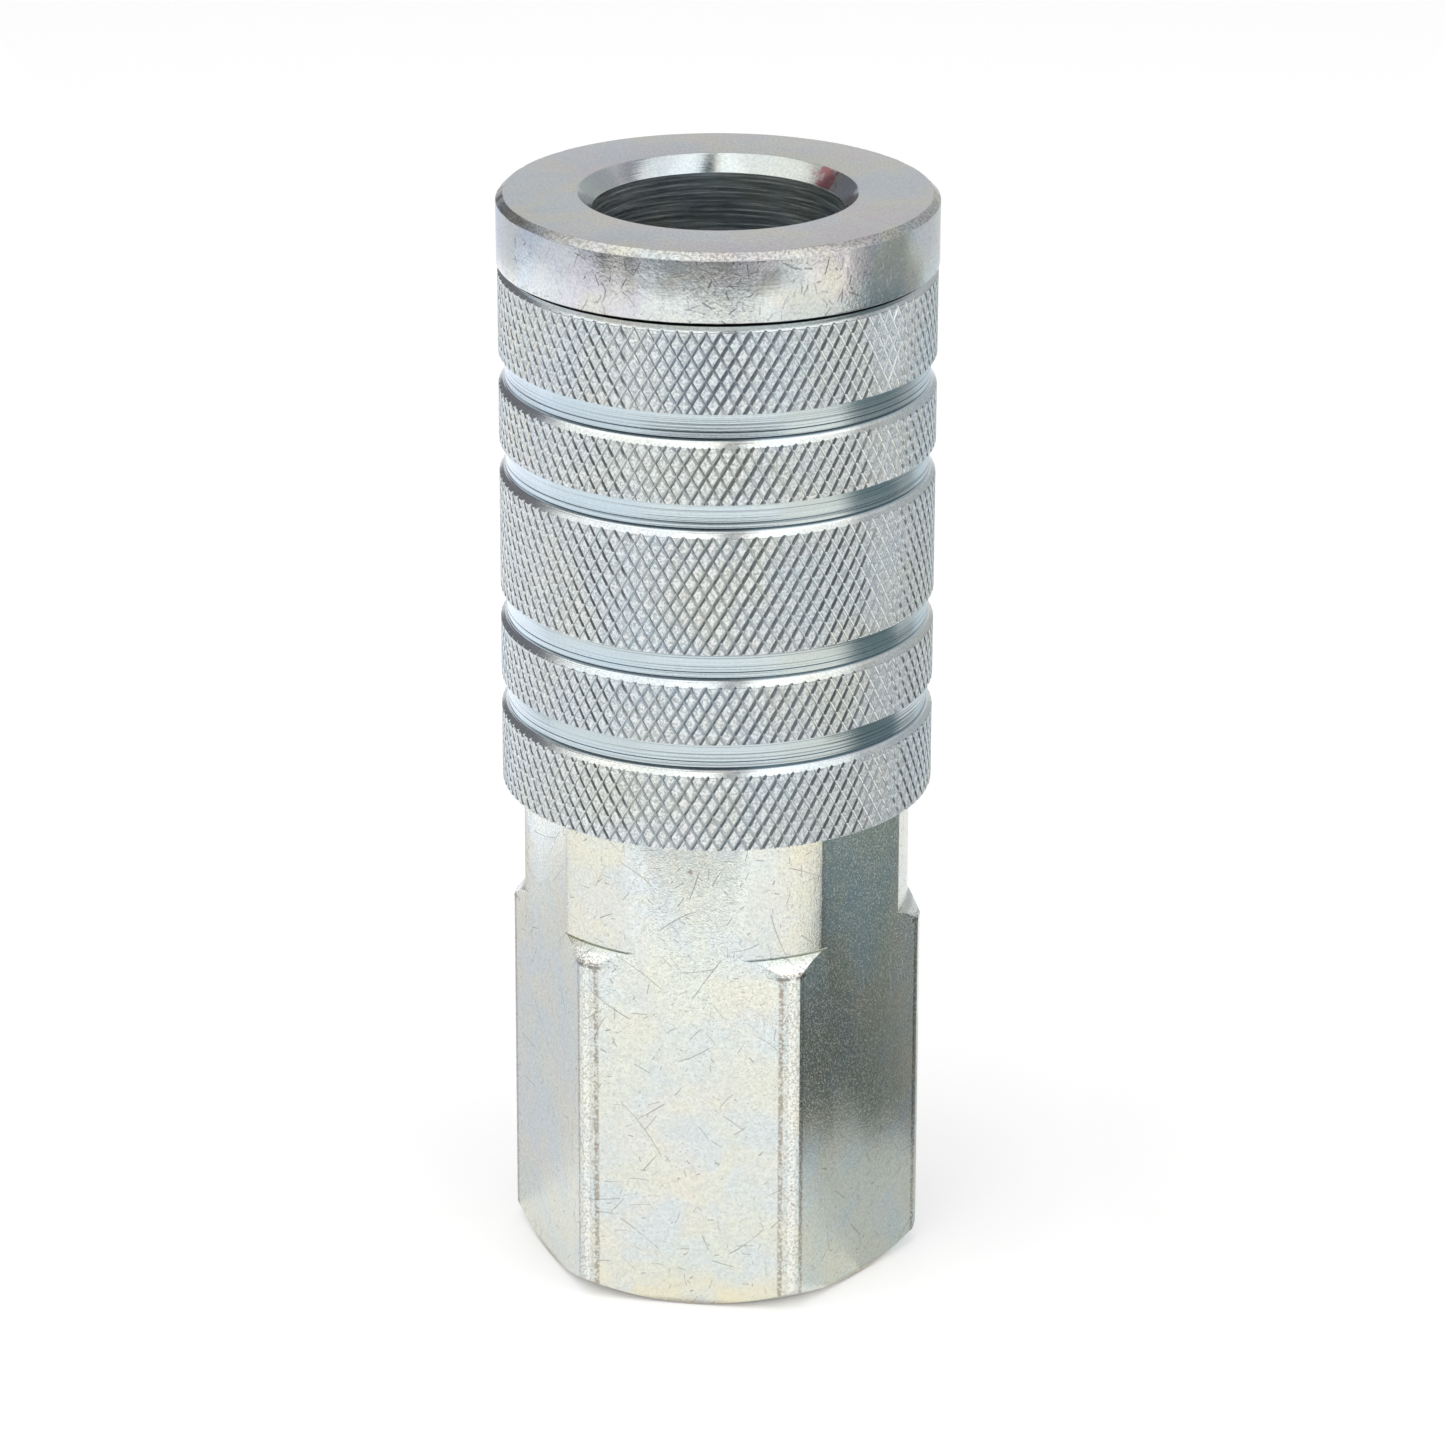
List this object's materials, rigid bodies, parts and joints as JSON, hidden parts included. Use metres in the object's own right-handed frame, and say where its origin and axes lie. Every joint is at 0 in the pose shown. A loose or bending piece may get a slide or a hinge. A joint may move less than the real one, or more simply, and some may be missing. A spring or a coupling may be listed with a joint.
{
  "type": "quick disconnect coupler",
  "caption": "Sleeve-operated ball-lock hose coupler, socket half, with a knurled grooved sleeve, a hexagonal end with a female pipe port and an internal poppet shut-off valve.",
  "frame": {"origin": "centre of the hex end's face, on the coupler's axis, where it stands", "axes": "+Z along the axis from the pipe port to the plug socket; one hex flat faces -Y"},
  "size_m": [0.0376, 0.0376, 0.0963],
  "materials": {
    "zinc_body": "bright zinc plate with a faint iridescent chromate, scratched",
    "zinc_ring": "bright zinc plate over a turned surface",
    "zinc_sleeve": "bright zinc plate, diamond knurl and turned grooves",
    "ball_steel": "polished bearing ball",
    "spring_steel": "oiled spring wire",
    "machined_steel": "fine turned steel",
    "brass": "machined brass",
    "black_rubber": "moulded nitrile rubber",
    "white_plastic": "white PTFE"
  },
  "bodies": {
    "socket_body": {"hex_body": "zinc_body", "front_socket": "zinc_ring", "sleeve_spring": "spring_steel", "plug_oring": "black_rubber", "backup_ring": "white_plastic", "body_oring": "black_rubber", "valve_guide": "brass", "valve_spring": "spring_steel"},
    "sleeve_carrier": {"spring_washer": "machined_steel"},
    "sleeve": {"lock_sleeve": "zinc_sleeve"},
    "poppet": {"valve_poppet": "machined_steel", "poppet_nose": "machined_steel", "poppet_seal": "black_rubber"},
    "ball_1": {"lock_ball_1": "ball_steel"},
    "ball_2": {"lock_ball_2": "ball_steel"},
    "ball_3": {"lock_ball_3": "ball_steel"},
    "ball_4": {"lock_ball_4": "ball_steel"},
    "ball_5": {"lock_ball_5": "ball_steel"},
    "ball_6": {"lock_ball_6": "ball_steel"},
    "ball_7": {"lock_ball_7": "ball_steel"},
    "ball_8": {"lock_ball_8": "ball_steel"}
  },
  "joints": [
    {"name": "sleeve_slide", "type": "slide", "parent": "socket_body", "child": "sleeve_carrier", "axis": [0, 0, -1], "range_m": [0, 0.008], "stiffness_N_per_m": 2500, "springref_m": -0.01, "deforming": ["sleeve_spring"]},
    {"name": "sleeve_spin", "type": "hinge", "parent": "sleeve_carrier", "child": "sleeve", "pos_m": [0, 0, 0.0665], "axis": [0, 0, 1], "continuous": true},
    {"name": "poppet_slide", "type": "slide", "parent": "socket_body", "child": "poppet", "axis": [0, 0, -1], "range_m": [0, 0.006], "stiffness_N_per_m": 1200, "springref_m": -0.006, "deforming": ["valve_spring"]},
    {"name": "ball_1_slide", "type": "slide", "parent": "socket_body", "child": "ball_1", "axis": [0.9239, 0.3827, 0], "range_m": [0, 0.00131]},
    {"name": "ball_2_slide", "type": "slide", "parent": "socket_body", "child": "ball_2", "axis": [0.3827, 0.9239, 0], "range_m": [0, 0.00131]},
    {"name": "ball_3_slide", "type": "slide", "parent": "socket_body", "child": "ball_3", "axis": [-0.3827, 0.9239, 0], "range_m": [0, 0.00131]},
    {"name": "ball_4_slide", "type": "slide", "parent": "socket_body", "child": "ball_4", "axis": [-0.9239, 0.3827, 0], "range_m": [0, 0.00131]},
    {"name": "ball_5_slide", "type": "slide", "parent": "socket_body", "child": "ball_5", "axis": [-0.9239, -0.3827, 0], "range_m": [0, 0.00131]},
    {"name": "ball_6_slide", "type": "slide", "parent": "socket_body", "child": "ball_6", "axis": [-0.3827, -0.9239, 0], "range_m": [0, 0.00131]},
    {"name": "ball_7_slide", "type": "slide", "parent": "socket_body", "child": "ball_7", "axis": [0.3827, -0.9239, 0], "range_m": [0, 0.00131]},
    {"name": "ball_8_slide", "type": "slide", "parent": "socket_body", "child": "ball_8", "axis": [0.9239, -0.3827, 0], "range_m": [0, 0.00131]}
  ],
  "couplings": [
    {"joint": "ball_1_slide", "follows": "sleeve_slide", "ratio": 0.1625},
    {"joint": "ball_2_slide", "follows": "sleeve_slide", "ratio": 0.1625},
    {"joint": "ball_3_slide", "follows": "sleeve_slide", "ratio": 0.1625},
    {"joint": "ball_4_slide", "follows": "sleeve_slide", "ratio": 0.1625},
    {"joint": "ball_5_slide", "follows": "sleeve_slide", "ratio": 0.1625},
    {"joint": "ball_6_slide", "follows": "sleeve_slide", "ratio": 0.1625},
    {"joint": "ball_7_slide", "follows": "sleeve_slide", "ratio": 0.1625},
    {"joint": "ball_8_slide", "follows": "sleeve_slide", "ratio": 0.1625}
  ]
}
